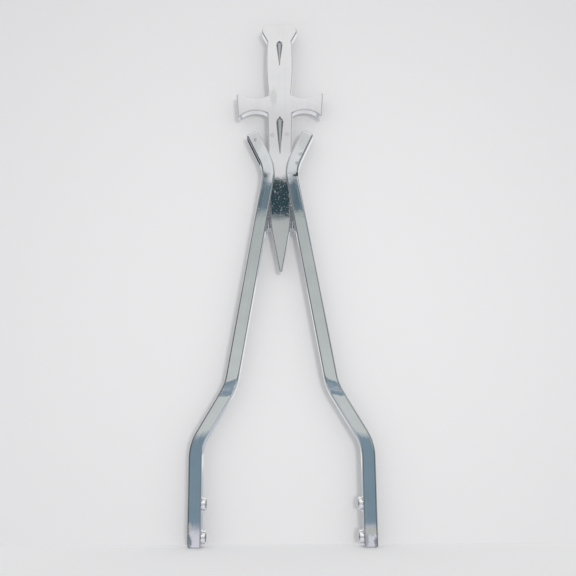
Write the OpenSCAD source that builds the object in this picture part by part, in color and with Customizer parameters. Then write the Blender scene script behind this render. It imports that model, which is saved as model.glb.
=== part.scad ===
// Chopper sissy bar: two bent square bars with a sword welded between them.
// Millimetres, +Z up, the front face looks along -Y. The origin is midway
// between the two feet, on the plane that their lower ends lie in.
// Left and right are as seen from the front.

/* [Bars] */
// Width of the square bar across its flats
bar_w = 12.7; // [11.5:0.1:14.5]
// Radius of the bar's four long edges
bar_edge_r = 0.9; // [0.4:0.1:1.4]
// Distance between the middles of the two upright legs
leg_spacing = 161; // [150:1:180]
// Height of a leg, from its foot to the corner of the knee
leg_h = 91; // [82:1:104]
// Height of the leaning stretch, from the knee to the shoulder
lean_h = 54; // [44:1:66]
// Half the distance between the bars at the corners of the shoulders
shoulder_x = 48.3; // [42:0.1:54]
// Height of the long run, from the shoulder to the waist
run_h = 216.5; // [190:0.5:240]
// Half the distance between the bars' middles at the corners of the waist
waist_x = 10.4; // [9.8:0.1:12]
// Height of the horns, from the waist's corner to their ends
horn_h = 39.1; // [34:0.1:46]
// Half the distance between the middles of the two horn ends
horn_x = 28.8; // [26:0.1:32]
// Bend radius at the knee, to the bar's middle
knee_r = 40; // [28:1:52]
// Bend radius at the shoulder, to the bar's middle
shoulder_r = 52; // [34:1:68]
// Bend radius at the waist, to the bar's middle
waist_r = 40; // [28:1:50]
// Radius to which a horn's end is rounded all over
horn_end_r = 2.8; // [1:0.1:4]
// Chamfer round the lower end of each leg
foot_chamfer = 0.9; // [0.4:0.1:1.4]
// Height of the flat ground on the left leg's outer front corner
foot_grind_h = 15; // [8:0.5:22]
// Width of that flat at the very end
foot_grind_w = 4.4; // [2:0.1:5]

/* [Bolt bosses] */
// Margin between a boss and the edges of its leg
boss_margin = 0.35; // [0.1:0.05:0.8]
// How far a boss stands off the leg's inner face
boss_l = 3.8; // [2.5:0.1:8]
// Height of the lower pair of bolt holes
boss_low_z = 8.4; // [8:0.1:12]
// Distance between the lower and the upper pair
boss_pitch = 29.2; // [24:0.1:38]
// Diameter of the bolt holes
bolt_hole_d = 8.4; // [6:0.1:8.8]
// Chamfer on a boss's free rim
boss_rim = 0.6; // [0.3:0.1:0.8]
// Size of the fillet weld above and below a boss
boss_weld_s = 1.4; // [1:0.1:2.2]

/* [Sword plate] */
// Distance of the sword's faces behind those of the bars
plate_setback = 1.55; // [0.9:0.05:2.2]
// Chamfer along all of the sword's edges
plate_chamfer = 1.1; // [0.6:0.1:1.5]
// Play between the blade's notches and the bars
notch_gap = 0.12; // [0.05:0.01:0.3]

/* [Blade] */
// Distance of the blade's point below the corner of the waist
tip_down = 106.7; // [98:0.1:116]
// Length of the tapered point
point_l = 41.2; // [36:0.1:46]
// Half the blade's width where the point starts
point_half_w = 8.6; // [7.8:0.1:9.4]
// Half the blade's width at its neck, below the bars
neck_half_w = 9.8; // [9.5:0.1:10.4]
// Height of the neck above the start of the point
neck_up = 9.6; // [7:0.1:13]
// Half the blade's width below the guard
blade_half_w = 12.7; // [12:0.1:14]

/* [Guard] */
// Height of the guard above the horns' ends
guard_up = 20.4; // [14:0.1:28]
// Half the guard's span at its upper corners
guard_top_half = 44.6; // [38:0.1:50]
// Half the guard's span at its lower corners
guard_low_half = 42.7; // [37:0.1:48]
// Height of the guard along the sword's middle
guard_h = 20.2; // [17:0.1:24]
// Distance of the guard's thinnest places from the middle
guard_thin_x = 24; // [21:0.1:28]
// How far the lower arc rises above the blade's corner
guard_low_rise = 3.7; // [2.5:0.1:5]
// How far the upper arc dips below the grip's corner
guard_top_dip = 4.2; // [3:0.1:5.5]
// How far the lower corners hang below the blade's corner
guard_low_drop = 5.2; // [3.5:0.1:7]
// How far the upper corners stand above the grip's corner
guard_top_lift = 3.6; // [2:0.1:5]

/* [Grip and pommel] */
// Length of the grip between guard and pommel
grip_l = 60; // [54:0.1:68]
// Half the grip's width at the guard
grip_low_half = 11.5; // [10.5:0.1:12.6]
// Half the grip's width where it is thickest
grip_mid_half = 13.6; // [13.2:0.1:14.6]
// Height of that place above the guard
grip_mid_up = 33; // [27:0.5:38]
// Half the grip's width at the pommel
grip_top_half = 12.6; // [11.6:0.1:13]
// Half the pommel's greatest width
pommel_half = 18.2; // [16.5:0.1:20.5]
// Half the width of the pommel's flat top
pommel_top_half = 13.9; // [12:0.1:15.5]
// Height of the flare between grip and pommel
flare_h = 10.4; // [8:0.1:13]
// Height of the pommel's straight side
pommel_side_h = 1.4; // [0.8:0.1:4]
// Height of the pommel's rounded shoulder
pommel_crown_h = 6.2; // [5:0.1:8]

/* [Recesses] */
// Depth of the recesses in the sword's front
recess_d = 1.6; // [0.8:0.1:2.2]
// Slope of their walls, as run over depth
recess_slope = 0.75; // [0.4:0.05:0.8]
// Width of the teardrop in the grip
drop_w = 6.6; // [5.4:0.1:8]
// Length of the teardrop
drop_l = 28.4; // [22:0.1:34]
// How far its top stands above the foot of the flare
drop_up = 1; // [-5:0.1:3]
// Width of the spear in the blade
spear_w = 7.4; // [6:0.1:9]
// Length of the spear below its shoulders
spear_l = 38; // [30:0.1:44]
// Distance of its shoulders below the guard
spear_down = 6.4; // [5:0.1:9]
// Height of the small point on top of the spear
peak_h = 3.4; // [2:0.1:4]
// Width of that point at the shoulders
peak_w = 4.2; // [3.6:0.1:5]

/* [Blade welds] */
// Distance of the fill's faces behind those of the sword
fill_setback = 1.8; // [1.6:0.1:2.6]
// How far the fill reaches below the place where bar and blade meet
fill_l = 30; // [24:0.1:34]
// Height of the arch in the fill's lower end
arch_h = 3.2; // [2:0.1:3.6]
// Size of the bead along each seam at the back, at most the sword's setback
bead_s = 1.5; // [1:0.1:2]

/* [Hidden] */
$fn = 64;

RIGHT = 1;
LEFT = -1;
CHROME = [0.80, 0.82, 0.84];
SWORD_CHROME = [0.86, 0.86, 0.87];
WELD_CHROME = [0.66, 0.69, 0.72];

// Steps of the round forms: degrees along a bend, parts of a quarter turn at
// the bar's edges, the horns' ends and the beads, and parts of each arc of the
// sword's outline
bend_step = 3;
edge_steps = 3;
horn_steps = 4;
bead_steps = 6;
outline_steps = 14;
// Clearance under a bead that lies on its seat
seat_gap = 0.02;

bar_half = bar_w / 2;
leg_x = leg_spacing / 2;
boss_d = bar_w - 2 * boss_margin;
boss_high_z = boss_low_z + boss_pitch;
plate_t = bar_w - 2 * plate_setback;
plate_half = plate_t / 2;
fill_t = plate_t - 2 * fill_setback;

// Corners of a bar's middle line as [x, z], from the foot up to the horn
foot = [leg_x, 0];
knee = [leg_x, leg_h];
shoulder = [shoulder_x, leg_h + lean_h];
waist = [waist_x, shoulder[1] + run_h];
horn = [horn_x, waist[1] + horn_h];
run_dir = unit(waist - shoulder);
horn_dir = unit(horn - waist);

// Heights of the sword's corners: the blade's point hangs from the waist, and
// the guard stands over the horns' ends
tip_z = waist[1] - tip_down;
point_z = tip_z + point_l;
neck_z = point_z + neck_up;
guard_low_z = horn[1] + guard_up;
guard_top_z = guard_low_z + guard_h;
flare_z = guard_top_z + grip_l;
pommel_z = flare_z + flare_h;
side_z = pommel_z + pommel_side_h;
top_z = side_z + pommel_crown_h;

// Slopes, as sideways over up: the point's side, the blade's side above its
// neck, and the long run and the horn of a bar
point_slope = point_half_w / point_l;
neck_slope = (neck_half_w - point_half_w) / neck_up;
side_slope = (blade_half_w - neck_half_w) / (guard_low_z - neck_z);
run_slope = run_dir[0] / run_dir[1];
horn_slope = horn_dir[0] / horn_dir[1];

// Half-width of the blade at height z, down to its point
function blade_side(z) =
  z > neck_z ? neck_half_w + (z - neck_z) * side_slope
  : z > point_z ? point_half_w + (z - point_z) * neck_slope
  : (z - tip_z) * point_slope;
// Distance of the bar's inner face from the middle at height z, on the run
// and on the horn
function run_face(z) = waist_x + (z - waist[1]) * run_slope - bar_half / run_dir[1];
function horn_face(z) = waist_x + (z - waist[1]) * horn_slope - bar_half / horn_dir[1];

// Height at which the bar's inner face meets the blade's side
fill_top_z = neck_z + (run_face(neck_z) - neck_half_w) / (side_slope - run_slope);
fill_low_z = fill_top_z - fill_l;

function unit(v) = v / norm(v);
function cross2(a, b) = a[0] * b[1] - a[1] * b[0];
function right_of(v) = [v[1], -v[0]];
function heading(v) = atan2(v[1], v[0]);
// Signed angle from direction a to direction b, positive for a left turn
function turn(a, b) = atan2(cross2(a, b), a * b);
// Length from a corner to where its bend starts
function tangent_l(angle, r) = r * tan(abs(angle) / 2);

// Centre of the circle through three points
function circle_centre(a, b, c) =
  let (
    d = 2 * (a[0] * (b[1] - c[1]) + b[0] * (c[1] - a[1]) + c[0] * (a[1] - b[1])),
    x = (a * a) * (b[1] - c[1]) + (b * b) * (c[1] - a[1]) + (c * c) * (a[1] - b[1]),
    y = (a * a) * (c[0] - b[0]) + (b * b) * (a[0] - c[0]) + (c * c) * (b[0] - a[0])
  ) [x, y] / d;

// Points on the arc from a to c that passes through b, both ends included
function arc_through(a, b, c) =
  let (
    m = circle_centre(a, b, c),
    start = heading(a - m),
    swing = turn(a - m, b - m) + turn(b - m, c - m)
  ) [for (i = [0 : outline_steps])
      let (t = start + swing * i / outline_steps) m + norm(a - m) * [cos(t), sin(t)]];

function without_first(points) = [for (i = [1 : len(points) - 1]) points[i]];
function mirrored(points) = [for (i = [len(points) - 1 : -1 : 0]) [-points[i][0], points[i][1]]];

// A path with round bends as frames of [point, direction, scale], from corners
// as [x, z] and one bend radius for each inner corner. The scale is that of
// the section, 1 all along.
function bend_frames(start, dir, angle, r) =
  let (
    side = angle > 0 ? 1 : -1,
    centre = start - side * r * right_of(dir),
    steps = ceil(abs(angle) / bend_step)
  ) [for (i = [0 : steps])
      let (t = heading(dir) + angle * i / steps, d = [cos(t), sin(t)])
        [centre + side * r * right_of(d), d, 1]];

function path_frames(points, radii) =
  let (
    last = len(points) - 1,
    dirs = [for (i = [0 : last - 1]) unit(points[i + 1] - points[i])]
  ) concat(
    [[points[0], dirs[0], 1]],
    [for (i = [1 : last - 1])
      let (angle = turn(dirs[i - 1], dirs[i]), r = radii[i - 1])
        each bend_frames(points[i] - tangent_l(angle, r) * dirs[i - 1], dirs[i - 1], angle, r)],
    [[points[last], dirs[last - 1], 1]]
  );

// Sweeps a section along frames. Its points are [across, back]: across runs
// to the right of the way up, and back runs away from the viewer. They go
// anticlockwise.
module sweep(section, frames) {
  n = len(section);
  last = len(frames) - 1;
  points = [for (f = frames, s = section)
    let (p = f[0] + f[2] * s[0] * right_of(f[1])) [p[0], f[2] * s[1], p[1]]];
  sides = [for (j = [0 : last - 1], i = [0 : n - 1])
    let (k = (i + 1) % n) [j * n + i, j * n + n + i, j * n + n + k, j * n + k]];
  polyhedron(points, concat(
    sides,
    [[for (i = [0 : n - 1]) i]],
    [[for (i = [n - 1 : -1 : 0]) last * n + i]]
  ), convexity = 6);
}

// The points of a square with round corners
function round_square(w, r) =
  [for (corner = [0 : 3], i = [0 : edge_steps])
    let (t = 90 * (corner + i / edge_steps), m = w / 2 - r, c = 90 * corner + 45)
      [sign(cos(c)) * m + r * cos(t), sign(sin(c)) * m + r * sin(t)]];

// The bar's frames: its lower rim is chamfered and its horn's end is rounded
bar_frames =
  let (run = path_frames([foot, knee, shoulder, waist, horn], [knee_r, shoulder_r, waist_r]))
  concat(
    [[foot, [0, 1], 1 - foot_chamfer / bar_half], [foot + [0, foot_chamfer], [0, 1], 1]],
    [for (i = [1 : len(run) - 2]) run[i]],
    [for (i = [0 : horn_steps])
      let (t = 90 * i / horn_steps)
        [horn - horn_end_r * (1 - sin(t)) * horn_dir, horn_dir,
         1 - horn_end_r * (1 - cos(t)) / bar_half]]
  );

module on_side(side) mirror([side > 0 ? 0 : 1, 0, 0]) children();

// Places its children on a bolt hole's line, pointing from the leg inwards
module at_bolt(z) translate([leg_x, 0, z]) rotate([0, -90, 0]) children();

// The right-hand bar with its bolt holes
module bent_bar() difference() {
  sweep(round_square(bar_w, bar_edge_r), bar_frames);
  for (z = [boss_low_z, boss_high_z])
    at_bolt(z) cylinder(h = 2 * bar_w, d = bolt_hole_d, center = true);
}

// The wedge ground off the outer front corner of a leg, for the right-hand
// bar. It is deepest at the foot and runs out at its top.
module foot_grind() {
  depth = foot_grind_w / 2;
  translate([leg_x + bar_half, -bar_half, foot_grind_h])
    rotate([0, 0, 45])
      rotate([atan(depth / foot_grind_h), 0, 0])
        translate([-bar_w, -bar_w, -2 * foot_grind_h])
          cube([2 * bar_w, bar_w, 2 * foot_grind_h]);
}

module left_bar() color(CHROME) mirror([1, 0, 0]) difference() {
  bent_bar();
  foot_grind();
}

module right_bar() color(CHROME) bent_bar();

// A turned boss with the bolt hole through it, its rim chamfered
module boss(side, z) color(CHROME) on_side(side) at_bolt(z)
  translate([0, 0, bar_half])
    rotate_extrude()
      polygon([
        [bolt_hole_d / 2, 0], [boss_d / 2, 0], [boss_d / 2, boss_l - boss_rim],
        [boss_d / 2 - boss_rim, boss_l], [bolt_hole_d / 2, boss_l]
      ]);

// The hollow fillet weld above and below a boss, on the leg's flat face. The
// hollow's radius is this share of the weld's size.
weld_hollow = 0.92;
module boss_weld(side, z) color(WELD_CHROME) on_side(side) intersection() {
  at_bolt(z) translate([0, 0, bar_half]) rotate_extrude()
    translate([boss_d / 2, 0]) difference() {
      square(boss_weld_s);
      translate([boss_weld_s, boss_weld_s]) circle(weld_hollow * boss_weld_s, $fn = 48);
    }
  translate([leg_x - bar_w, bar_edge_r - bar_half, foot_chamfer])
    cube([bar_w, bar_w - 2 * bar_edge_r, leg_h]);
}

// The last corner of the outline stands this far beyond the blade's point,
// because the chamfer blunts a sharp point by as much
blunting = plate_chamfer * (1 / sin(atan(point_slope)) - 1);

// Right-hand half of the sword's outline, from the point up to the pommel
half_outline = concat(
  [[0, tip_z - blunting], [point_half_w, point_z], [neck_half_w, neck_z]],
  arc_through(
    [blade_half_w, guard_low_z],
    [guard_thin_x, guard_low_z + guard_low_rise],
    [guard_low_half, guard_low_z - guard_low_drop]),
  arc_through(
    [guard_top_half, guard_top_z + guard_top_lift],
    [guard_thin_x, guard_top_z - guard_top_dip],
    [grip_low_half, guard_top_z]),
  without_first(arc_through(
    [grip_low_half, guard_top_z],
    [grip_mid_half, guard_top_z + grip_mid_up],
    [grip_top_half, flare_z])),
  [[pommel_half, pommel_z]],
  arc_through(
    [pommel_half, side_z],
    [0.72 * pommel_half + 0.28 * pommel_top_half, side_z + 0.7 * pommel_crown_h],
    [pommel_top_half, top_z])
);

// Stands a shape drawn as [x, z] upright, its height towards the front
module upright() rotate([90, 0, 0]) children();

// The sword's plate with all of its edges chamfered
module sword_plate() upright() minkowski() {
  linear_extrude(plate_t - 2 * plate_chamfer, center = true)
    offset(delta = -plate_chamfer) polygon(concat(half_outline, mirrored(half_outline)));
  for (up = [0, 1])
    mirror([0, 0, up]) cylinder(h = plate_chamfer, r1 = plate_chamfer, r2 = 0, $fn = 16);
}

// A pocket in the plate's front with sloping walls. The child is its rim, of
// width w, drawn round the place that it shrinks towards.
module pocket(centre_z, w) {
  film = 0.01;
  over = 0.2;
  wall = recess_slope * recess_d;
  floor_scale = 1 - 2 * wall / w;
  upright() translate([0, centre_z, plate_half - recess_d])
    hull() {
      linear_extrude(film) scale([floor_scale, (1 + floor_scale) / 2]) children();
      translate([0, 0, recess_d + over])
        linear_extrude(film) scale([1 + 2 * recess_slope * over / w, 1]) children();
    }
}

// Width of the blunt lower end of both recesses
point_w = 0.9;

// The teardrop in the grip, its round end up with a small gable on it. It is
// drawn round the place at 0.38 of its length from the top.
drop_centre = 0.38 * drop_l;
module teardrop() {
  gable = 0.9;
  low_end = drop_centre - drop_l;
  hull() {
    translate([0, drop_centre - gable - drop_w / 2]) circle(drop_w / 2, $fn = 24);
    polygon([[0, drop_centre], [-point_w / 2, low_end], [point_w / 2, low_end]]);
  }
}

// The long body of the spear, drawn round the place at 0.42 of its length
spear_centre = 0.42 * spear_l;
module spear_body() {
  corner = [0.4, 2];
  half = spear_w / 2;
  polygon([
    [corner[0] - half, spear_centre], [half - corner[0], spear_centre],
    [half, spear_centre - corner[1]], [point_w / 2, spear_centre - spear_l],
    [-point_w / 2, spear_centre - spear_l], [-half, spear_centre - corner[1]]
  ]);
}

// The small point on top of the spear, reaching down into its body
module spear_peak() polygon([
  [0, peak_h], [-peak_w / 2, 0], [-peak_w / 4, -peak_h], [peak_w / 4, -peak_h], [peak_w / 2, 0]
]);

module sword() color(SWORD_CHROME) difference() {
  sword_plate();
  for (side = [LEFT, RIGHT]) on_side(side)
    sweep(round_square(bar_w + 2 * notch_gap, bar_edge_r),
      path_frames([shoulder, waist, horn + notch_gap * horn_dir], [waist_r]));
  pocket(flare_z + drop_up - drop_centre, drop_w) teardrop();
  pocket(guard_low_z - spear_down - spear_centre, spear_w) spear_body();
  pocket(guard_low_z - spear_down, peak_w) spear_peak();
}

// The weld that fills the wedge between blade and bar, arched at its lower end
module fill_weld(side) {
  top_gap = 2;
  levels = concat(
    [fill_low_z],
    [for (z = [point_z, neck_z]) if (z > fill_low_z) z],
    [fill_top_z - top_gap]
  );
  last = len(levels) - 1;
  arch_w = run_face(fill_low_z) - blade_side(fill_low_z);
  rise = min(arch_h, 0.45 * arch_w);
  arch_r = (arch_w * arch_w / 4 + rise * rise) / (2 * rise);
  color(WELD_CHROME) on_side(side) upright()
    linear_extrude(fill_t, center = true) difference() {
      polygon(concat(
        [for (z = levels) [blade_side(z) + notch_gap, z]],
        [for (i = [last : -1 : 0]) [run_face(levels[i]) - notch_gap, levels[i]]]
      ));
      translate([blade_side(fill_low_z) + arch_w / 2, fill_low_z + rise - arch_r])
        circle(arch_r);
    }
}

// The bead in the corner between the blade's back and the bar's inner side,
// along the stretch where the blade's flat back reaches the bar
module seam_weld(side) {
  size = min(bead_s, plate_setback - seat_gap);
  reach = size + plate_chamfer;
  low_z = fill_top_z + reach / (side_slope - run_slope);
  high_z = waist[1] + (blade_half_w - reach - horn_face(waist[1])) / horn_slope;
  seam = [-bar_half - notch_gap, plate_half + seat_gap];
  bead = concat([seam], [for (i = [0 : bead_steps])
    let (t = 90 + 90 * i / bead_steps) seam + size * [cos(t), sin(t)]]);
  color(WELD_CHROME) on_side(side) intersection() {
    sweep(bead, path_frames([shoulder, waist, horn], [waist_r]));
    translate([-leg_x, -bar_w, low_z]) cube([leg_spacing, 2 * bar_w, high_z - low_z]);
  }
}

left_bar();
right_bar();
sword();
boss(LEFT, boss_high_z);  // left_upper_boss
boss(LEFT, boss_low_z);  // left_lower_boss
boss(RIGHT, boss_high_z);  // right_upper_boss
boss(RIGHT, boss_low_z);  // right_lower_boss
boss_weld(LEFT, boss_high_z);  // left_upper_boss_weld
boss_weld(LEFT, boss_low_z);  // left_lower_boss_weld
boss_weld(RIGHT, boss_high_z);  // right_upper_boss_weld
boss_weld(RIGHT, boss_low_z);  // right_lower_boss_weld
fill_weld(LEFT);  // left_fill_weld
fill_weld(RIGHT);  // right_fill_weld
seam_weld(LEFT);  // left_seam_weld
seam_weld(RIGHT);  // right_seam_weld
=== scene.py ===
"""Looks of a chopper sissy bar: plated square bars, a sword-shaped plate, bolt bosses and welds.

The pieces are drawn in millimetres, as the model is, and scaled to metres when they are finished.
The right side is drawn, and the left one is its mirror image.
"""
import math

import bmesh
import bpy
from mathutils import Matrix, Quaternion, Vector


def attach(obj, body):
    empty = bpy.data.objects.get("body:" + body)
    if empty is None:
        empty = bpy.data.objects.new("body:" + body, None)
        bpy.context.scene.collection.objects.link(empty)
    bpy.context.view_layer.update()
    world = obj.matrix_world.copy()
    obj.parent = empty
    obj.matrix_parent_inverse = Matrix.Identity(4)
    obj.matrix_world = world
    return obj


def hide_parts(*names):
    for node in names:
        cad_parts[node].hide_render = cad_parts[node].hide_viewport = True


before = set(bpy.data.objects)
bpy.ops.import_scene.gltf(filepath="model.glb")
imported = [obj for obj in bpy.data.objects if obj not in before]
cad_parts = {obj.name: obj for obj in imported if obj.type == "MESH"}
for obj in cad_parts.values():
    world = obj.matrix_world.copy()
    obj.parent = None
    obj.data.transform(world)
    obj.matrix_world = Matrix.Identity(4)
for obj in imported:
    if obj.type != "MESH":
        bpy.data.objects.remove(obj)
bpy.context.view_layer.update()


MM = 0.001

# The bars: stock, middle line from foot to horn, and ends
BAR_W = 12.7
BAR_HALF = BAR_W / 2
BAR_EDGE_R = 0.9
LEG_X = 80.5
LEG_IN_X = LEG_X - BAR_HALF
LEG_OUT_X = LEG_X + BAR_HALF
FOOT = (LEG_X, 0.0)
KNEE = (LEG_X, 91.0)
SHOULDER = (48.3, 145.0)
WAIST = (10.4, 361.5)
HORN = (28.8, 400.6)
BAR_WAY = [FOOT, KNEE, SHOULDER, WAIST, HORN]
BEND_R = [40.0, 52.0, 40.0]
HORN_END_R = 2.8
FOOT_CHAMFER = 0.9
GRIND_H = 15.0
GRIND_W = 4.4

# The bosses, their bolt holes and their fillets
BOSS_R = 6.0
BOSS_L = 3.8
BOSS_RIM = 0.6
HOLE_R = 4.2
HOLE_RIM = 0.3
BOSS_Z = {"lower": 8.4, "upper": 37.6}
FILLET = 1.4
FILLET_REACH = math.radians(62)
FILLET_HALF_Y = 5.5
FILLET_LOW_Z = 0.95

# The sword: plate, heights from the tip up, and half widths
PLATE_HALF = 4.8
RIM_R = 1.1
CORNER_R = 1.25
NOTCH_GAP = 0.12
TIP_Z = 254.8
TIP_CUT = 4.95
POINT_Z = 296.0
NECK_Z = 305.6
GUARD_Z = 421.0
GUARD_TOP_Z = 441.2
FLARE_Z = 501.2
POMMEL_Z = 511.6
POMMEL_SIDE_Z = 513.0
TOP_Z = 519.2
POINT_HALF = 8.6
NECK_HALF = 9.8
BLADE_HALF = 12.7
GUARD_MID_X = 24.0
GUARD_LOW_HALF = 42.7
GUARD_HIGH_HALF = 44.6
GRIP_LOW_HALF = 11.5
GRIP_MID_HALF = 13.6
GRIP_TOP_HALF = 12.6
POMMEL_HALF = 18.2
TOP_HALF = 13.9

# The recesses in the sword's front
TEARDROP_LOW_Z = 473.6
TEARDROP_WIDE_Z = 497.6
TEARDROP_HALF = 3.3
SPEAR_LOW_Z = 376.8
SPEAR_WIDE_Z = 412.2
SPEAR_HALF = 3.65

# The welds between sword and bars
FILL_LOW_Z = 295.6
FILL_TOP_Z = 323.3
FILL_HALF = 3.0
SEAM_LOW_Z = 338.3
SEAM_HIGH_Z = 375.6
BEAD_R = 1.5


# Drawing and sweeping
def flat(point):
    """A point of the X-Z plane as a vector."""
    return Vector((point[0], 0.0, point[1]))


def run_between(start, end):
    """The direction from one point of the X-Z plane to another."""
    return (flat(end) - flat(start)).normalized()


def turn(a, b):
    """The angle from one direction to another in the X-Z plane, positive from +X towards +Z."""
    return math.atan2(a.x * b.z - a.z * b.x, a.dot(b))


def right_of(run):
    return Vector((run.z, 0.0, -run.x))


def lean_to(run):
    """The rotation that turns +Z to a direction in the X-Z plane."""
    return Matrix.Rotation(math.atan2(run.x, run.z), 3, "Y")


def on_way(start, toward, z):
    """The point at a height on the line through two points of the X-Z plane."""
    (x0, z0), (x1, z1) = start, toward
    return x0 + (x1 - x0) * (z - z0) / (z1 - z0), z


def first(kind, made):
    """The first element of a kind, such as a face, among those that an operator made."""
    return next(item for item in made if isinstance(item, kind))


def whole(face):
    """A face with its edges and corners."""
    return [face, *face.edges, *face.verts]


def push(bm, face, move, scale=(1, 1, 1), middle=None):
    """Extrudes a face, moves the new one and scales it about its middle, or about a given point."""
    made = bmesh.ops.extrude_face_region(bm, geom=whole(face))
    face = first(bmesh.types.BMFace, made["geom"])
    bmesh.ops.translate(bm, verts=face.verts, vec=move)
    centre = face.calc_center_median() if middle is None else middle
    bmesh.ops.scale(bm, vec=scale, space=Matrix.Translation(-centre), verts=face.verts)
    return face


def square_face(bm, width, edge_r, at, run):
    """A square with round corners, its middle at a point and facing along a direction."""
    bmesh.ops.create_grid(bm, x_segments=1, y_segments=1, size=width / 2)
    bmesh.ops.bevel(bm, geom=bm.verts[:], offset=edge_r, offset_type="OFFSET", segments=5,
                    profile=0.5, affect="VERTICES", material=-1)
    bmesh.ops.rotate(bm, cent=(0, 0, 0), matrix=lean_to(run), verts=bm.verts)
    bmesh.ops.translate(bm, vec=at, verts=bm.verts)
    return bm.faces[:][0]


def sweep(bm, face, way, radii, steps=26):
    """Carries a face along straight stretches, and spins it round the bends between them."""
    points = [flat(point) for point in way]
    runs = [run_between(start, end) for start, end in zip(way, way[1:])]
    at = points[0]
    for i, run in enumerate(runs):
        bend = turn(run, runs[i + 1]) if i < len(radii) else 0.0
        back = radii[i] * math.tan(abs(bend) / 2) if bend else 0.0
        end = points[i + 1] - run * back
        face = push(bm, face, end - at)
        if bend:
            centre = end - right_of(run) * math.copysign(radii[i], bend)
            made = bmesh.ops.spin(bm, geom=whole(face), cent=centre, axis=(0, -1, 0),
                                  angle=bend, steps=steps, use_merge=False)
            face = first(bmesh.types.BMFace, made["geom_last"])
            at = points[i + 1] + runs[i + 1] * back
    return face


class Pen:
    """Draws an outline in the X-Z plane, with extruded vertices for lines and spun ones for arcs."""

    def __init__(self, bm, x, z):
        self.bm = bm
        self.end = bm.verts.new((x, 0, z))

    def line(self, *points):
        for x, z in points:
            self.end = bmesh.ops.extrude_vert_indiv(self.bm, verts=[self.end])["verts"][0]
            self.end.co = (x, 0, z)

    def arc(self, middle, end, steps=14):
        """An arc from the pen's place through a middle point to an end, on the circle through the three."""
        a, b, c = self.end.co.copy(), flat(middle), flat(end)
        area = 2 * (a.x * (b.z - c.z) + b.x * (c.z - a.z) + c.x * (a.z - b.z))
        aa, bb, cc = a.dot(a), b.dot(b), c.dot(c)
        centre = Vector(((aa * (b.z - c.z) + bb * (c.z - a.z) + cc * (a.z - b.z)) / area, 0,
                         (aa * (c.x - b.x) + bb * (a.x - c.x) + cc * (b.x - a.x)) / area))
        swing = turn(a - centre, b - centre) + turn(b - centre, c - centre)
        made = bmesh.ops.spin(self.bm, geom=[self.end], cent=centre, axis=(0, -1, 0), angle=swing,
                              steps=steps, use_merge=False)
        self.end = first(bmesh.types.BMVert, made["geom_last"])


def mirrored_face(bm):
    """Mirrors the half outline drawn so far and fills it."""
    bmesh.ops.mirror(bm, geom=bm.verts[:] + bm.edges[:], axis="X", merge_dist=0.01)
    return bmesh.ops.contextual_create(bm, geom=bm.edges[:])["faces"][0]


def turned(profile, z, closed=False, steps=72):
    """A bmesh turned about a line along X at a height, from (X, radius) points."""
    bm = bmesh.new()
    verts = [bm.verts.new((x, 0, r)) for x, r in profile]
    pairs = list(zip(verts, verts[1:])) + ([(verts[-1], verts[0])] if closed else [])
    edges = [bm.edges.new(pair) for pair in pairs]
    bmesh.ops.spin(bm, geom=verts + edges, cent=(0, 0, 0), axis=(1, 0, 0), angle=2 * math.pi, steps=steps,
                   use_merge=True)
    bmesh.ops.remove_doubles(bm, verts=bm.verts, dist=0.001)
    bmesh.ops.translate(bm, vec=(0, 0, z), verts=bm.verts)
    return bm


def add_object(bm, name):
    """Puts a bmesh in the scene as an object."""
    mesh = bpy.data.meshes.new(name)
    bm.to_mesh(mesh)
    bm.free()
    obj = bpy.data.objects.new(name, mesh)
    bpy.context.scene.collection.objects.link(obj)
    return obj


def to_object(bm, name, side=1):
    """A piece in metres, mirrored for the left side, with its faces pointing outwards."""
    bmesh.ops.scale(bm, vec=(side * MM, MM, MM), verts=bm.verts)
    bmesh.ops.recalc_face_normals(bm, faces=bm.faces)
    if bm.calc_volume(signed=True) < 0:
        bmesh.ops.reverse_faces(bm, faces=bm.faces)
    return add_object(bm, name)


def modify(obj, kind, **settings):
    """Adds a modifier and applies it."""
    change = obj.modifiers.new(kind.lower(), kind)
    for key, value in settings.items():
        setattr(change, key, value)
    with bpy.context.temp_override(object=obj, active_object=obj, selected_objects=[obj]):
        bpy.ops.object.modifier_apply(modifier=change.name)


def cut(obj, *cutters):
    for cutter in cutters:
        modify(obj, "BOOLEAN", object=cutter, operation="DIFFERENCE", solver="EXACT")
        bpy.data.objects.remove(cutter)


def finish(obj, material, node, angle=32):
    """Shades a piece smooth up to an angle, plates it, and puts it in the place of its node."""
    obj.data.shade_smooth()
    obj.data.set_sharp_from_angle(angle=math.radians(angle))
    modify(obj, "WEIGHTED_NORMAL", weight=100, keep_sharp=True)
    obj.data.materials.clear()
    obj.data.materials.append(material)
    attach(obj, "root")
    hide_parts(node)


# The bars
def bolt_hole(side, z):
    """A cutter for a bolt hole through the leg, with an eased outer rim."""
    ease = [(-0.45, 0.0), (-0.15, 0.12), (0.0, 0.4), (0.5, 1.2)]
    rim = [(LEG_OUT_X + x, HOLE_R + r) for x, r in ease]
    start, end = LEG_IN_X - 2, rim[-1][0]
    return to_object(turned([(start, 0), (start, HOLE_R), *rim, (end, 0)], z), "bolt_hole", side)


def round_horn(bm, face, run, steps=8):
    """Ends a bar in a rounded-over tip, pushing its face out in ever smaller steps."""
    size, reach = 1.0, 0.0
    for i in range(1, steps + 1):
        angle = math.pi / 2 * i / steps
        new_size = 1 - HORN_END_R * (1 - math.cos(angle)) / BAR_HALF
        new_reach = HORN_END_R * math.sin(angle)
        face = push(bm, face, run * (new_reach - reach), (new_size / size,) * 3)
        size, reach = new_size, new_reach


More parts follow.
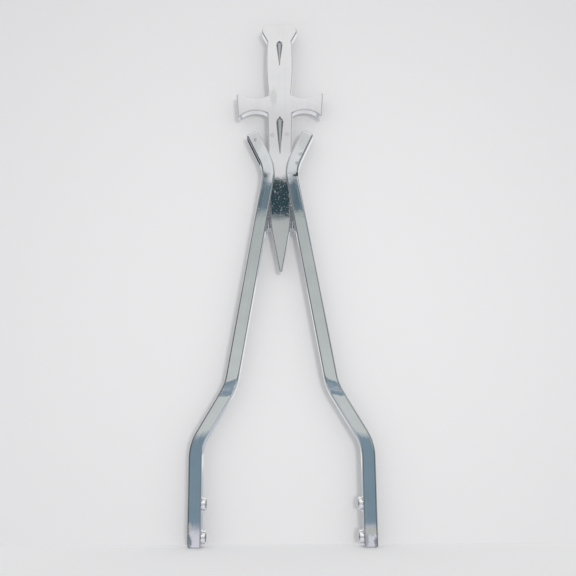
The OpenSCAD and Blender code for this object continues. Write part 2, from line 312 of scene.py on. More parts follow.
def grind_foot(bm):
    """Grinds a flat on the outer front edge of a foot."""
    slope = GRIND_W / 2 / GRIND_H
    diagonal = 0.7071
    bmesh.ops.bisect_plane(
        bm, geom=bm.verts[:] + bm.edges[:] + bm.faces[:], dist=1e-4, clear_outer=True,
        plane_co=(LEG_OUT_X, -BAR_HALF, GRIND_H), plane_no=(diagonal, -diagonal, -slope))
    bmesh.ops.holes_fill(bm, edges=[edge for edge in bm.edges if edge.is_boundary])


def bent_bar(side, name):
    """A bar swept from its chamfered foot to its horn. Only the left one has a ground foot."""
    bm = bmesh.new()
    up = Vector((0, 0, 1))
    sole = 1 - FOOT_CHAMFER / BAR_HALF
    face = square_face(bm, BAR_W, BAR_EDGE_R, flat(FOOT), up)
    bmesh.ops.scale(bm, vec=(sole,) * 3, space=Matrix.Translation(-flat(FOOT)), verts=face.verts)
    face = push(bm, face, up * FOOT_CHAMFER, (1 / sole,) * 3)
    run = run_between(WAIST, HORN)
    end = flat(HORN) - run * HORN_END_R
    face = sweep(bm, face, [(LEG_X, FOOT_CHAMFER), *BAR_WAY[1:-1], (end.x, end.z)], BEND_R)
    round_horn(bm, face, run)
    if side < 0:
        grind_foot(bm)
    obj = to_object(bm, name, side)
    cut(obj, *[bolt_hole(side, z) for z in BOSS_Z.values()])
    return obj


# The sword
def bar_notch(side):
    """A cutter along a bar, a little wider than the bar, for the sword's notch."""
    bm = bmesh.new()
    face = square_face(bm, BAR_W + 2 * NOTCH_GAP, BAR_EDGE_R, flat(SHOULDER), run_between(SHOULDER, WAIST))
    sweep(bm, face, BAR_WAY[2:], BEND_R[2:])
    return to_object(bm, "bar_notch", side)


def recess(draw, widest_z, depth, floor_w, floor_l, over=0.4):
    """A cutter for a recess in the sword's front, from its outline to a floor of a share of its size."""
    bm = bmesh.new()
    draw(bm)
    face = mirrored_face(bm)
    bmesh.ops.translate(bm, verts=bm.verts, vec=(0, -PLATE_HALF - over, 0))
    grow = 1 + over * (1 - floor_w) / depth
    bmesh.ops.scale(bm, vec=(grow, 1, 1), verts=bm.verts)
    push(bm, face, (0, depth + over, 0), (floor_w / grow, 1, floor_l),
         Vector((0, -PLATE_HALF + depth, widest_z)))
    return to_object(bm, "recess")


def draw_teardrop(bm):
    """Half of the recess in the grip: a long point below and a round end above."""
    pen = Pen(bm, 0, TEARDROP_LOW_Z)
    pen.line((0.45, TEARDROP_LOW_Z + 0.3), (TEARDROP_HALF, TEARDROP_WIDE_Z))
    pen.arc((2.75, TEARDROP_WIDE_Z + 2.3), (0.75, TEARDROP_WIDE_Z + 3.6), 8)
    pen.line((0, TEARDROP_WIDE_Z + 4.4))


def draw_spear(bm):
    """Half of the recess in the blade: a long point below and a short one above."""
    pen = Pen(bm, 0, SPEAR_LOW_Z)
    pen.line((0.45, SPEAR_LOW_Z + 0.4), (SPEAR_HALF, SPEAR_WIDE_Z))
    pen.line(*[(x, SPEAR_WIDE_Z + up) for x, up in
               ((3.3, 2.3), (2.0, 2.8), (1.25, 3.7), (0.7, 4.8), (0, 5.8))])


def round_corners(bm, face):
    """Rounds the sharp outward corners of a face in the X-Z plane, each on a true circle."""
    corners = []
    for loop in face.loops:
        a, b, c = loop.link_loop_prev.vert.co, loop.vert.co.copy(), loop.link_loop_next.vert.co
        before, after = (b - a).normalized(), (c - b).normalized()
        corners.append((loop.vert, turn(before, after), b, (after - before).normalized()))
    way = math.copysign(1, sum(bend for _, bend, _, _ in corners))
    for vert, bend, at, inward in corners:
        if bend * way > math.radians(30):
            centre = at + inward * CORNER_R / math.cos(bend / 2)
            cut_back = CORNER_R * math.tan(abs(bend) / 2)
            segments = max(3, math.ceil(math.degrees(abs(bend)) / 12))
            made = bmesh.ops.bevel(bm, geom=[vert], offset=cut_back, offset_type="OFFSET", segments=segments,
                                   profile=0.5, affect="VERTICES", material=-1, clamp_overlap=False)
            for v in made["verts"]:
                v.co = centre + (v.co - centre).normalized() * CORNER_R


def sword_outline(bm):
    """Half of the sword, from the middle of its tip to the middle of its pommel."""
    pen = Pen(bm, 0, TIP_Z - TIP_CUT)
    pen.line((POINT_HALF, POINT_Z), (NECK_HALF, NECK_Z), (BLADE_HALF, GUARD_Z))
    pen.arc((GUARD_MID_X, GUARD_Z + 3.7), (GUARD_LOW_HALF, GUARD_Z - 5.2), 9)
    pen.line((GUARD_HIGH_HALF, GUARD_TOP_Z + 3.6))
    pen.arc((GUARD_MID_X, GUARD_TOP_Z - 4.2), (GRIP_LOW_HALF, GUARD_TOP_Z), 9)
    pen.arc((GRIP_MID_HALF, GUARD_TOP_Z + 33), (GRIP_TOP_HALF, FLARE_Z))
    pen.line((POMMEL_HALF, POMMEL_Z), (POMMEL_HALF, POMMEL_SIDE_Z))
    pen.arc((16.99, POMMEL_SIDE_Z + 4.34), (TOP_HALF, TOP_Z), 8)
    pen.line((0, TOP_Z))


def sword(name):
    """The plate with round corners and rims, notched for the bars, and with two recesses in its front."""
    bm = bmesh.new()
    sword_outline(bm)
    round_corners(bm, mirrored_face(bm))
    bmesh.ops.translate(bm, vec=(0, -PLATE_HALF, 0), verts=bm.verts)
    push(bm, bm.faces[:][0], (0, 2 * PLATE_HALF, 0))
    rims = [edge for edge in bm.edges if abs(edge.verts[0].co.y - edge.verts[1].co.y) < 0.01]
    bmesh.ops.bevel(bm, geom=rims, offset=RIM_R, offset_type="OFFSET", segments=5, profile=0.5,
                    affect="EDGES", material=-1, clamp_overlap=False)
    obj = to_object(bm, name)
    cut(obj, bar_notch(-1), bar_notch(1),
        recess(draw_teardrop, TEARDROP_WIDE_Z, depth=1.7, floor_w=0.40, floor_l=0.90),
        recess(draw_spear, SPEAR_WIDE_Z, depth=1.8, floor_w=0.45, floor_l=0.93))
    return obj


# The bosses and their fillets
def boss(side, z, name):
    """A turned ring on the leg's inner face, its two free rims eased."""
    end = LEG_IN_X - BOSS_L
    bm = turned([(LEG_IN_X, HOLE_R), (LEG_IN_X, BOSS_R), (end, BOSS_R), (end, HOLE_R)], z,
                closed=True, steps=80)
    for radius, offset in ((BOSS_R, BOSS_RIM), (HOLE_R, HOLE_RIM)):
        rim = [edge for edge in bm.edges if all(
            abs(v.co.x - end) < 0.01 and abs(math.hypot(v.co.y, v.co.z - z) - radius) < 0.01
            for v in edge.verts)]
        bmesh.ops.bevel(bm, geom=rim, offset=offset, offset_type="OFFSET", segments=4, profile=0.5,
                        affect="EDGES", material=-1)
    return to_object(bm, name, side)


def fillet_section(bm, up):
    """A triangle in the corner of leg and boss, above it (1) or below (-1), its slant pressed in."""
    corner, high, low = [bm.verts.new((x, 0, up * r)) for x, r in (
        (LEG_IN_X, BOSS_R), (LEG_IN_X, BOSS_R + FILLET), (LEG_IN_X - FILLET, BOSS_R))]
    face = bm.faces.new((corner, high, low))
    slant = next(edge for edge in face.edges if corner not in edge.verts)
    bmesh.ops.subdivide_edges(bm, edges=[slant], cuts=5)
    for v in face.verts:
        if v not in (corner, high, low):
            out = Vector((LEG_IN_X - FILLET, 0, up * (BOSS_R + FILLET))) - v.co
            v.co += out * (1 - 0.92 * FILLET / out.length) * 0.2
    return face


def boss_fillet(side, z, name):
    """The rippled fillets above and below a boss, each spun part of the way round it."""
    bm = bmesh.new()
    for up in (1, -1):
        face = fillet_section(bm, up)
        start = Matrix.Rotation(-FILLET_REACH, 3, "X")
        bmesh.ops.rotate(bm, cent=(0, 0, 0), matrix=start, verts=face.verts)
        bmesh.ops.spin(bm, geom=whole(face), cent=(0, 0, 0), axis=(1, 0, 0), angle=2 * FILLET_REACH,
                       steps=44, use_merge=False)
    for v in bm.verts:
        angle = math.atan2(v.co.y, abs(v.co.z))
        taper = min(1.0, (1 - abs(angle) / FILLET_REACH) * 5 + 0.15)
        size = taper * (0.86 + 0.14 * abs(math.cos(5.2 * angle)))
        radius = math.hypot(v.co.y, v.co.z)
        grow = (BOSS_R + (radius - BOSS_R) * size) / radius
        y = max(-FILLET_HALF_Y, min(FILLET_HALF_Y, v.co.y * grow))
        v.co = (LEG_IN_X - (LEG_IN_X - v.co.x) * size, y, max(FILLET_LOW_Z, v.co.z * grow + z))
    return to_object(bm, name, side)


# The welds between sword and bars
def blade_side(z):
    """Half the width of the blade at a height."""
    edge = [(0.0, TIP_Z), (POINT_HALF, POINT_Z), (NECK_HALF, NECK_Z), (BLADE_HALF, GUARD_Z)]
    stretch = 2 if z > NECK_Z else 1 if z > POINT_Z else 0
    return on_way(edge[stretch], edge[stretch + 1], z)[0]


def bar_inside(z):
    """The X of a bar's inner side at a height, between shoulder and waist."""
    return on_way(WAIST, SHOULDER, z)[0] - BAR_HALF / run_between(SHOULDER, WAIST).z


def fill_weld(side, name):
    """The web between blade and bar: hollow in front and behind, its lower edge run into drops."""
    bm = bmesh.new()
    bmesh.ops.create_grid(bm, x_segments=20, y_segments=34, size=0.5)
    upright = Matrix.Rotation(math.pi / 2, 3, "X")
    bmesh.ops.rotate(bm, cent=(0, 0, 0), matrix=upright, verts=bm.verts)
    bmesh.ops.solidify(bm, geom=bm.faces[:], thickness=0.1)
    middle = sum(v.co.y for v in bm.verts) / len(bm.verts)
    for v in bm.verts:
        across, down = v.co.x + 0.5, 0.5 - v.co.z
        low = FILL_LOW_Z + 3.2 * (1 - (2 * across - 1) ** 2)
        z = FILL_TOP_Z + (low - FILL_TOP_Z) * math.sin(math.pi / 2 * down)
        blade, bar = blade_side(z) - 0.3, bar_inside(z) + 0.3
        thick = FILL_HALF * (0.5 + 0.5 * (2 * across - 1) ** 2)
        thick *= math.sqrt(max(0.004, 1 - max(0.0, (low + 3.0 - z) / 3.0) ** 2))
        thick += 0.06 * math.sin(z * 2.3 + 4 * across) * min(1.0, thick)
        v.co = (blade + (bar - blade) * across, math.copysign(thick, v.co.y - middle), z)
    drops = ((9.9, -1.6, 298.5, 1.25), (13.2, -1.5, 296.6, 1.0), (11.4, -0.6, 299.6, 1.2))
    for *at, radius in drops:
        drop = bmesh.ops.create_icosphere(bm, subdivisions=3, radius=radius)["verts"]
        bmesh.ops.scale(bm, vec=(0.9, 1.0, 1.45), verts=drop)
        bmesh.ops.translate(bm, vec=at, verts=drop)
    return to_object(bm, name, side)


def quarter_disc(bm, radius):
    """A quarter of a disc in the X-Y plane, with its corner at the origin."""
    corner, rim = bm.verts.new((0, 0, 0)), bm.verts.new((0, radius, 0))
    made = bmesh.ops.spin(bm, geom=[rim], cent=(0, 0, 0), axis=(0, 0, 1), angle=math.pi / 2, steps=12,
                          use_merge=False)
    for end in (rim, first(bmesh.types.BMVert, made["geom_last"])):
        bmesh.ops.contextual_create(bm, geom=[corner, end])
    return bmesh.ops.contextual_create(bm, geom=bm.edges[:])["faces"][0]


def seam_weld(side, name):
    """A rippled bead in the corner between the blade's back and the bar's inner side."""
    bm = bmesh.new()
    way = [on_way(WAIST, SHOULDER, SEAM_LOW_Z + 1.4), WAIST, on_way(WAIST, HORN, SEAM_HIGH_Z - 3.4)]
    face = quarter_disc(bm, BEAD_R)
    bmesh.ops.translate(bm, vec=(0.1 - BAR_HALF, PLATE_HALF - 0.1, 0), verts=bm.verts)
    lean = lean_to(run_between(way[0], way[1]))
    bmesh.ops.rotate(bm, cent=(0, 0, 0), matrix=lean, verts=bm.verts)
    bmesh.ops.translate(bm, vec=flat(way[0]), verts=bm.verts)
    sweep(bm, face, way, BEND_R[2:], steps=60)
    long_edges = [edge for edge in bm.edges if edge.calc_length() > 4]
    bmesh.ops.subdivide_edges(bm, edges=long_edges, cuts=20, use_grid_fill=True)
    for v in bm.verts:
        ripple = 0.8 + 0.2 * abs(math.cos(1.9 * (v.co.z + 0.5 * math.sin(2 * v.co.x))))
        ends = min(1.0, 0.3 + 0.35 * (v.co.z - SEAM_LOW_Z), 0.3 + 0.35 * (SEAM_HIGH_Z - v.co.z))
        v.co.y = PLATE_HALF + max(-0.4, (v.co.y - PLATE_HALF) * ripple * max(0.3, ends))
    return to_object(bm, name, side)


# Shader maths
class Value:
    """A number that changes over a surface. The operators add Math nodes."""

    def __init__(self, sheet, socket):
        self.sheet = sheet
        self.socket = socket

    def math(self, operation, *others):
        inputs = dict(enumerate((self,) + others))
        return self.sheet.value("Math", {"operation": operation}, inputs)

    def __add__(self, other):
        return self.math("ADD", other)

    def __sub__(self, other):
        return self.math("SUBTRACT", other)

    def __mul__(self, other):
        return self.math("MULTIPLY", other)

    def __truediv__(self, other):
        return self.math("DIVIDE", other)

    def __neg__(self):
        return self * -1.0

    def __rsub__(self, other):
        return -self + other

    __radd__, __rmul__ = __add__, __mul__

    def abs(self):
        return self.math("ABSOLUTE")

    def at_least(self, low):
        return self.math("MAXIMUM", low)

    def between(self, low, high):
        return self.at_least(low).math("MINIMUM", high)

    def rise(self, low, high):
        """0 at low, 1 at high, smooth between. Low may be the larger."""
        ends = (0.0, 1.0) if low < high else (1.0, 0.0)
        return self.sheet.value("MapRange", {"interpolation_type": "SMOOTHSTEP"}, {
            "Value": self, "From Min": min(low, high), "From Max": max(low, high),
            "To Min": ends[0], "To Max": ends[1]}, "Result")


class Sheet:
    """A node tree, with one way to add a node."""

    def __init__(self, tree):
        self.tree = tree

    def add(self, kind, settings, inputs):
        node = self.tree.nodes.new("ShaderNode" + kind)
        for key, value in settings.items():
            if key == "stops":
                self.set_stops(node.color_ramp, value)
            else:
                setattr(node, key, value)
        for key, value in inputs.items():
            self.wire(value, node.inputs[key])
        return node

    def set_stops(self, color_ramp, stops):
        while len(color_ramp.elements) < len(stops):
            color_ramp.elements.new(0.5)
        for element, (place, colour) in zip(color_ramp.elements, stops):
            element.position = place
            element.color = (*colour, 1.0)

    def wire(self, value, socket):
        if isinstance(value, Value):
            self.tree.links.new(value.socket, socket)
        elif isinstance(value, bpy.types.NodeSocket):
            self.tree.links.new(value, socket)
        else:
            socket.default_value = value

    def value(self, kind, settings, inputs, output=0):
        return Value(self, self.add(kind, settings, inputs).outputs[output])

    def vector(self, x, y, z):
        return self.value("CombineXYZ", {}, {0: x, 1: y, 2: z})

    def parts(self, socket):
        return [Value(self, part) for part in self.add("SeparateXYZ", {}, {0: socket}).outputs]

    def noise(self, vector, scale, detail=2.0, rough=0.5):
        """Noise about 0, mostly within -1 to 1."""
        inputs = {"Vector": vector, "Scale": scale, "Detail": detail, "Roughness": rough}
        return (self.value("TexNoise", {}, inputs) - 0.5) * 2.4

    def dots(self, vector, scale, size, share):
        """Small round dots in a share of the cells."""
        cells = self.add("TexVoronoi", {}, {"Vector": vector, "Scale": scale})
        chosen = self.parts(cells.outputs["Color"])[0].rise(1 - share, 1 - share + 0.02)
        return Value(self, cells.outputs["Distance"]).rise(size, 0.3 * size) * chosen

    def mix(self, share, a, b):
        colours = [(*c, 1.0) if isinstance(c, tuple) else c for c in (a, b)]
        return self.value("Mix", {"data_type": "RGBA"}, {0: share, 6: colours[0], 7: colours[1]}, 2)

    def ramp(self, degrees, stops):
        """Colours by elevation, from (degrees, colour) stops. The fewer degrees it spans, the crisper."""
        low, high = stops[0][0], stops[-1][0]
        spread = [((at - low) / (high - low), colour) for at, colour in stops]
        return self.value("ValToRGB", {"stops": spread}, {0: (degrees - low) / (high - low)})

    def background(self, colour):
        return self.add("Background", {}, {0: colour}).outputs[0]

    def mix_shaders(self, share, a, b):
        return self.add("MixShader", {}, {0: share, 1: a, 2: b}).outputs[0]


# The plating
def bends():
    """Centre, radius, middle angle and bend of each bend of a bar, in metres and radians."""
    found = []
    for before, corner, after, radius in zip(BAR_WAY, BAR_WAY[1:], BAR_WAY[2:], BEND_R):
        run_in, run_out = run_between(before, corner), run_between(corner, after)
        bend = turn(run_in, run_out)
        start = flat(corner) - run_in * radius * math.tan(abs(bend) / 2)
        centre = start - right_of(run_in) * math.copysign(radius, bend)
        to_corner = flat(corner) - centre
        found.append((centre * MM, radius * MM, math.atan2(to_corner.z, to_corner.x), bend))
    return found


def bar_places(sheet, x, z):
    """The distance from a bar's middle line, outwards, and the distance up from each bend's middle."""
    across, lean = x.abs() - LEG_X * MM, 1.0
    for (x0, z0), (x1, z1), (x2, z2) in zip(BAR_WAY, BAR_WAY[1:], BAR_WAY[2:]):
        above = z.math("GREATER_THAN", z1 * MM)
        slope_in, slope_out = (x1 - x0) / (z1 - z0), (x2 - x1) / (z2 - z1)
        lean_in = (z1 - z0) / math.hypot(x1 - x0, z1 - z0)
        lean_out = (z2 - z1) / math.hypot(x2 - x1, z2 - z1)
        across = across - (z - z1 * MM) * above * (slope_out - slope_in)
        lean = lean + above * (lean_out - lean_in)
    across, from_bends = across * lean, []
    for centre, radius, middle, bend in bends():
        dx, dz = x.abs() - centre.x, z - centre.z
        angle = (dz * math.cos(middle) - dx * math.sin(middle)).math(
            "ARCTAN2", dx * math.cos(middle) + dz * math.sin(middle))
        outside = ((dx * dx + dz * dz).math("SQRT") - radius) * math.copysign(1, bend)
        across = across + (outside - across) * angle.abs().math("LESS_THAN", abs(bend) / 2)
        from_bends.append(angle * math.copysign(radius, bend))
    return across, from_bends


class Plating:
    """Chrome that is built up step by step, as a colour, a roughness and a height."""

    def __init__(self, name, tone, spread=0.055, seed=0.0, on_bar=False):
        """Bright metal of a tone, with clouds and faint upright lines, which follow the bends of a bar."""
        self.material = bpy.data.materials.new(name)
        self.material.use_nodes = True
        self.sheet = Sheet(self.material.node_tree)
        self.x, self.y, self.z = self.sheet.parts(self.sheet.add("TexCoord", {}, {}).outputs["Object"])
        self.side = self.x.math("SIGN")
        self.across = self.x
        if on_bar:
            self.across, self.from_bends = bar_places(self.sheet, self.x, self.z)
        self.even = self.sheet.vector(self.x + seed, self.y, self.z)
        lengthwise = self.sheet.vector(self.across + self.side * 0.37 + seed, self.y, self.z * 0.035)
        fine = self.sheet.noise(lengthwise, 900.0, 3.0, 0.6)
        broad = self.sheet.noise(lengthwise, 260.0)
        cloud = self.sheet.noise(self.even, 60.0, 3.0)
        shade = (fine * 0.18 + broad * 0.18 + cloud * 0.35 + 0.5).between(0.0, 1.0)
        dark, light = [tuple(c * (1 + way * spread) for c in tone) for way in (-1, 1)]
        self.colour = self.sheet.mix(shade, dark, light)
        self.rough = cloud.at_least(0.0) * 0.016 + fine.at_least(0.0) * 0.01 + 0.032
        self.height = fine * 0.0000018 + broad * 0.000008 + cloud * 0.000012

    def work_bar(self):
        """Worn edges and tilted faces, warped at the knee and the waist, and a dented shoulder."""
        across, side = self.across, self.side
        worn = (across.abs() - 0.0045).at_least(0.0)
        self.height = self.height - across * 0.016 - worn * worn * 170.0
        knee, shoulder, waist = self.from_bends
        for along, left, right in ((knee, 0.35, 0.35), (waist + 0.009, 1.0, 0.3)):
            warp = side.rise(-0.5, 0.5) * (right - left) + left
            fading = (-(along * along) * 5000.0).math("EXPONENT")
            self.height = self.height + across * along * warp * fading
        dented = shoulder + across * 0.85 + 0.002 + self.sheet.noise(self.even, 120.0, 3.0) * 0.0016
        self.height = self.height + dented.rise(-0.0098, 0.0098) * 0.00094
        self.rough = self.rough + (-(dented * dented) * 15000.0).math("EXPONENT") * 0.12

    def painted_patch(self, x, z, half_w, half_h, strength, colour):
        """A ragged patch of colour on the front, placed and sized in millimetres; the lists of patches say
        which are painted reflection and shade.
        """
        across, along = (self.x - x * MM) / (half_w * MM), (self.z - z * MM) / (half_h * MM)
        ragged = self.sheet.noise(self.even, 620.0, 4.0, 0.7) * 0.8
        reach = (across * across + along * along).math("SQRT") + ragged
        mask = reach.rise(1.0, 0.4) * self.y.rise(0.0, -0.003) * strength
        self.colour = self.sheet.mix(mask, self.colour, colour)
        self.rough = self.rough + mask * 0.2

    def pit(self, low, high, strength):
        """Pits and specks between two heights in millimetres, with 4 mm to fade out."""
        zone = self.z.rise((low - 4) * MM, low * MM) * self.z.rise((high + 4) * MM, high * MM)
        pits = self.sheet.dots(self.even, 420.0, 0.30, 0.05) * zone
        specks = self.sheet.dots(self.sheet.vector(self.x + 0.21, self.y, self.z), 1300.0, 0.5, 0.10) * zone
        self.height = self.height + pits * (0.0002 * strength) + specks * (0.000012 * strength)

    def dull_and_shaded_recesses(self):
        """Greyer, rougher metal inside the recesses in the sword's front: duller plating, and painted shade
        on the recess floors.
        """
        front = -PLATE_HALF * MM
        inside = self.y.rise(front + 0.0001, front + 0.0012) * self.x.abs().rise(0.0043, 0.0041)
        inside = inside * self.y.rise(-0.0024, -0.0026)
        # Painted shade: the grey darkens the recesses as well as dulling them
        self.colour = self.sheet.mix(inside, self.colour, (0.52, 0.53, 0.53))
        self.rough = self.rough + inside * 0.25

    def ripple(self):
        self.height = self.height + self.sheet.noise(self.even, 900.0) * 0.00002

    def done(self):
        """The material, with its shader wired to all that was built up."""
        shader = self.material.node_tree.nodes["Principled BSDF"]
        shader.inputs["Metallic"].default_value = 1.0
        self.sheet.wire(self.colour, shader.inputs["Base Color"])
        self.sheet.wire(self.rough, shader.inputs["Roughness"])
        bump = self.sheet.add("Bump", {}, {"Strength": 1.0, "Distance": 1.0, "Height": self.height})
        self.sheet.wire(bump.outputs[0], shader.inputs["Normal"])
        return self.material


# Each patch is its middle x and z, its half width and half height in mm, its strength and its colour
# On the feet: pale yellow painted reflections low on both fronts, a dark painted reflection on the left
# foot's ground flat, and a grey and a dark mark low on the right foot
FOOT_REFLECTIONS_AND_MARKS = [
    (80.5, 14.5, 8.5, 5.5, 0.9, (0.80, 0.78, 0.66)),
    (76.3, 6.0, 2.6, 8.0, 0.8, (0.56, 0.56, 0.56)),
    (84.6, 4.5, 2.2, 5.5, 0.85, (0.37, 0.37, 0.38)),
    (-85.0, 18.0, 3.2, 5.5, 0.9, (0.80, 0.80, 0.70)),
    (-84.9, 5.5, 3.3, 8.0, 0.8, (0.24, 0.28, 0.29))]
# Painted dark reflections: blue and near-black patches on the fronts of both bars just below the waist
WAIST_DARK_REFLECTIONS = [
    (-14.9, 353.8, 2.4, 3.6, 0.8, (0.10, 0.14, 0.18)),
    (15.2, 353.9, 3.4, 1.5, 0.95, (0.03, 0.035, 0.05)),
    (16.8, 355.6, 1.7, 2.2, 0.95, (0.03, 0.035, 0.05)),
    (15.2, 348.6, 3.0, 1.9, 0.6, (0.16, 0.20, 0.24))]
# Greyer patches: broad ones over both horns, and small ones below them
HORN_GREY_PATCHES = [
    (-24.0, 390.0, 9.0, 15.0, 0.3, (0.60, 0.60, 0.60)),
    (24.0, 390.0, 9.0, 15.0, 0.3, (0.60, 0.60, 0.60)),
    (20.7, 376.2, 3.5, 2.6, 0.4, (0.52, 0.52, 0.53)),
    (-25.2, 391.8, 2.2, 2.6, 0.6, (0.50, 0.50, 0.52)),
    (17.0, 366.7, 2.0, 2.4, 0.6, (0.50, 0.50, 0.52))]
# Grey patches on the blade beside its recess, and a grey-green one low on the grip
SWORD_GREY_PATCHES = [
    (-8.1, 397.6, 3.0, 3.2, 0.5, (0.55, 0.55, 0.56)),
    (7.0, 398.4, 4.0, 3.0, 0.45, (0.57, 0.57, 0.58)),
    (-6.4, 439.0, 5.0, 13.0, 0.45, (0.58, 0.62, 0.59))]
# Painted shade: the front of the recessed web between blade and bar is darkened
FILL_SHADE = (0.0, 314.0, 18.0, 15.0, 0.8, (0.20, 0.21, 0.23))


def bar_plating():
    plating = Plating("bar_plating", (0.735, 0.755, 0.765), spread=0.10, on_bar=True)
    plating.work_bar()
    # Painted reflections on the feet and below the waist, and grey patches on the horns
    for painted_patch in FOOT_REFLECTIONS_AND_MARKS + WAIST_DARK_REFLECTIONS + HORN_GREY_PATCHES:
        plating.painted_patch(*painted_patch)
    plating.pit(314.0, 346.0, 0.12)
    return plating.done()


def sword_plating():
    plating = Plating("sword_plating", (0.775, 0.775, 0.78), seed=0.11)
    for painted_patch in SWORD_GREY_PATCHES:
        plating.painted_patch(*painted_patch)
    plating.pit(316.0, 347.0, 1.0)
    plating.dull_and_shaded_recesses()
    return plating.done()


def brightened_boss_plating():
    # Painted brightness: the bosses' chrome is a lighter copy of the bars' chrome, so they look brightly lit
    return Plating("brightened_boss_plating", (0.90, 0.90, 0.90), seed=0.23).done()


def weld_plating():
    plating = Plating("weld_plating", (0.74, 0.75, 0.77), seed=0.31)
    # Painted shade on the web's front, where it sits back between blade and bar
    plating.painted_patch(*FILL_SHADE)
    plating.ripple()
    return plating.done()


# Stage, studio and camera
STAGE_HALF = 4.0
BACKDROP_Y = 0.0105
BACKDROP_GREY = (0.80, 0.80, 0.805)


def stage_plane(name, matrix, colour):
    """A large square of the floor or backdrop, in metres."""
    bm = bmesh.new()
    bmesh.ops.create_grid(bm, x_segments=1, y_segments=1, size=STAGE_HALF, matrix=matrix)
    obj = add_object(bm, name)
    material = bpy.data.materials.new(name)
    material.use_nodes = True
    shader = material.node_tree.nodes["Principled BSDF"]
    shader.inputs["Base Color"].default_value = (*colour, 1.0)
    shader.inputs["Roughness"].default_value = 0.8
    shader.inputs["Specular IOR Level"].default_value = 0.1
    obj.data.materials.append(material)
    return obj, material


def make_floor():
    floor, _ = stage_plane("floor", Matrix.Identity(4), (0.90, 0.90, 0.90))
    floor.visible_glossy = False


def make_backdrop():
    """A pale board close behind the part, clear when it is seen from behind."""
    middle = Matrix.Translation((0, BACKDROP_Y, STAGE_HALF - 0.02))
    board, material = stage_plane("backdrop", middle @ Matrix.Rotation(math.pi / 2, 4, "X"), BACKDROP_GREY)
    board.visible_glossy = False
    board.visible_diffuse = False
    board.visible_shadow = False
    board.visible_transmission = False
    sheet = Sheet(material.node_tree)
    back = sheet.add("NewGeometry", {}, {}).outputs["Backfacing"]
    clear = sheet.add("BsdfTransparent", {}, {}).outputs[0]
    front = material.node_tree.nodes["Principled BSDF"].outputs[0]
    seen = sheet.mix_shaders(back, front, clear)
    sheet.wire(seen, material.node_tree.nodes["Material Output"].inputs[0])


def make_lamp():
    """A far, narrow lamp for a soft shadow on the board. The plating doesn't mirror it."""
    lamp = bpy.data.lights.new("soft_key", "AREA")
    lamp.energy = 0.49
    lamp.size = 0.4
    lamp.spread = math.radians(30)
    lamp.color = (1.0, 0.99, 0.98)
    key = bpy.data.objects.new("soft_key", lamp)
    key.location = (0.72, -2.5, 0.22)
    key.rotation_euler = (math.radians(90), 0, math.radians(16))
    key.visible_glossy = False
    bpy.context.scene.collection.objects.link(key)


def hall_front(sheet, up, around):
    """Behind the camera: pale walls with a striped band, which is darkest straight ahead of the part."""
    blue, lilac = (0.235, 0.32, 0.39), (0.78, 0.77, 0.84)
    under, pale = (0.52, 0.55, 0.545), (0.86, 0.86, 0.87)
    below = [(-45, (0.68, 0.68, 0.71)), (-24, lilac), (-9.3, lilac), (-9.0, blue), (-1.25, blue),
             (-0.85, (0.685, 0.71, 0.70)), (8.0, (0.615, 0.64, 0.63))]
    above = [(21.6, (0.87, 0.87, 0.88)), (22.6, (0.79, 0.79, 0.80)), (25.0, (0.80, 0.80, 0.81)),
             (26.2, (0.92, 0.92, 0.93)), (38, (0.98, 0.98, 0.97)), (45, (0.98, 0.98, 0.97))]
    light, dark = [
        sheet.ramp(up, below + [(17.05, under), (17.4, band), (19.85, band), (20.25, pale)] + above)
        for band in ((0.25, 0.33, 0.385), (0.08, 0.12, 0.15))]
    ahead = sheet.ramp(up, below + [
        (16.4, under), (16.7, (0.036, 0.07, 0.092)), (19.7, (0.04, 0.07, 0.08)), (19.95, pale)] + above)
    stripes = (around * 4.3).math("SINE") * 0.35 + (around * 9.7).math("SINE") * 0.3 + 0.47
    striped = sheet.mix(stripes.between(0.0, 1.0), light, dark)
    return sheet.mix((around + 1.34).abs().rise(2.2, 1.6), striped, ahead)


def hall_flank(sheet, up, side):
    """To both sides of the front: a broad dark band, which turns greyer from 40 degrees round."""
    wall = sheet.ramp(up, [
        (-90, (0.60, 0.60, 0.62)), (-45, (0.68, 0.68, 0.71)), (-24, (0.62, 0.62, 0.65)),
        (-14, (0.48, 0.49, 0.52)), (-11, (0.09, 0.10, 0.11)), (12, (0.05, 0.06, 0.07)),
        (19, (0.20, 0.21, 0.22)), (30, (0.42, 0.43, 0.44)), (44, (0.75, 0.75, 0.76)),
        (60, (1.0, 1.0, 1.0)), (90, (0.9, 0.9, 0.9))])
    return sheet.mix(side.rise(40.0, 52.0) * 0.45, wall, (0.6, 0.61, 0.62))


def hall_window(sheet, up):
    """To the left and the right: grey walls that are pale above."""
    return sheet.ramp(up, [
        (-90, (0.30, 0.30, 0.33)), (-40, (0.45, 0.45, 0.48)), (-16, (0.55, 0.56, 0.58)),
        (-4, (0.34, 0.37, 0.40)), (9, (0.42, 0.45, 0.47)), (14, (0.7, 0.71, 0.72)),
        (40, (0.85, 0.85, 0.86)), (90, (0.9, 0.9, 0.9))])


def hall_rear(sheet, up):
    """Behind the part: pale, with two greyer bands."""
    return sheet.ramp(up, [
        (-90, (0.30, 0.30, 0.33)), (-45, (0.50, 0.50, 0.53)), (-22, (0.85, 0.84, 0.88)),
        (-11, (0.86, 0.86, 0.90)), (-10.4, (0.45, 0.50, 0.55)), (-5, (0.55, 0.60, 0.64)),
        (-4.4, (0.84, 0.86, 0.87)), (9, (0.9, 0.91, 0.91)), (9.6, (0.52, 0.56, 0.60)),
        (13, (0.45, 0.49, 0.53)), (13.6, (0.93, 0.93, 0.94)), (90, (0.9, 0.9, 0.9))])


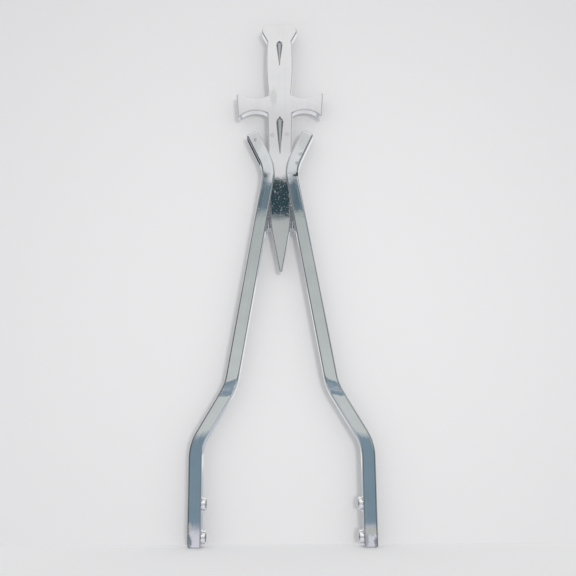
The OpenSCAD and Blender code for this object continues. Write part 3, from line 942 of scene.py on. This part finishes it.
def make_hall(sheet):
    """The hall that the plating mirrors, by degrees round from the front and up, with a dark spot behind."""
    x, y, z = sheet.parts(sheet.add("TexCoord", {}, {}).outputs["Generated"])
    up = z.math("ARCSINE") * (180 / math.pi)
    around = x.math("ARCTAN2", -y) * (180 / math.pi)
    side = around.abs()
    flank_from = (side + around.rise(0.0, -1.0) * 7.0).rise(20.0, 30.0)
    hall = sheet.mix(flank_from, hall_front(sheet, up, around), hall_flank(sheet, up, side))
    hall = sheet.mix(side.rise(72.0, 78.0) * side.rise(110.0, 104.0), hall, hall_window(sheet, up))
    hall = sheet.mix(side.rise(128.0, 142.0), hall, hall_rear(sheet, up))
    spot_x, spot_y = (around + 163.0) / 6.0, (up - 17.0) / 6.0
    spot = (spot_x * spot_x + spot_y * spot_y).rise(1.1, 0.8)
    return sheet.mix(spot, hall, (0.03, 0.03, 0.035))


def make_studio():
    """A hall for mirrored rays, even light for the others, and the backdrop's grey for the camera."""
    world = bpy.data.worlds.new("studio")
    bpy.context.scene.world = world
    world.use_nodes = True
    world.node_tree.nodes.clear()
    sheet = Sheet(world.node_tree)
    rays = sheet.add("LightPath", {}, {}).outputs
    even = sheet.background((0.84, 0.84, 0.85, 1.0))
    light = sheet.mix_shaders(rays["Is Glossy Ray"], even, sheet.background(make_hall(sheet)))
    grey = sheet.background((*BACKDROP_GREY, 1.0))
    sheet.add("OutputWorld", {}, {0: sheet.mix_shaders(rays["Is Camera Ray"], light, grey)})


def make_camera():
    """The photograph's view, from 65 cm in front of the part and 12 cm up, looking slightly upwards."""
    lens = bpy.data.cameras.new("camera")
    lens.sensor_width = 36.0
    lens.lens = 41.9
    lens.clip_start, lens.clip_end = 0.01, 50.0
    camera = bpy.data.objects.new("camera", lens)
    pitch, yaw, roll = math.radians(10.508), math.radians(-0.733), math.radians(-0.452)
    ahead = Vector((math.sin(yaw) * math.cos(pitch), math.cos(yaw) * math.cos(pitch), math.sin(pitch)))
    camera.location = (0.01513, -0.64513, 0.12073)
    camera.rotation_mode = "QUATERNION"
    camera.rotation_quaternion = ahead.to_track_quat("-Z", "Y") @ Quaternion((0, 0, 1), roll)
    bpy.context.scene.collection.objects.link(camera)
    bpy.context.scene.camera = camera


# The whole
bpy.context.scene.view_settings.view_transform = "Standard"
make_camera()
make_studio()
make_floor()
make_backdrop()
make_lamp()

bar_chrome, sword_chrome, brightened_boss_chrome, weld_chrome = (
    bar_plating(), sword_plating(), brightened_boss_plating(), weld_plating())

for side, word in ((-1, "left"), (1, "right")):
    finish(bent_bar(side, word + "_bar_plated"), bar_chrome, word + "_bar")
    finish(fill_weld(side, word + "_fill_plated"), weld_chrome, word + "_fill_weld", angle=60)
    finish(seam_weld(side, word + "_seam_plated"), weld_chrome, word + "_seam_weld", angle=60)
    for level, z in BOSS_Z.items():
        node = f"{word}_{level}_boss"
        finish(boss(side, z, node + "_plated"), brightened_boss_chrome, node)
        finish(boss_fillet(side, z, node + "_fillet"), weld_chrome, node + "_weld", angle=60)
finish(sword("sword_plated"), sword_chrome, "sword")
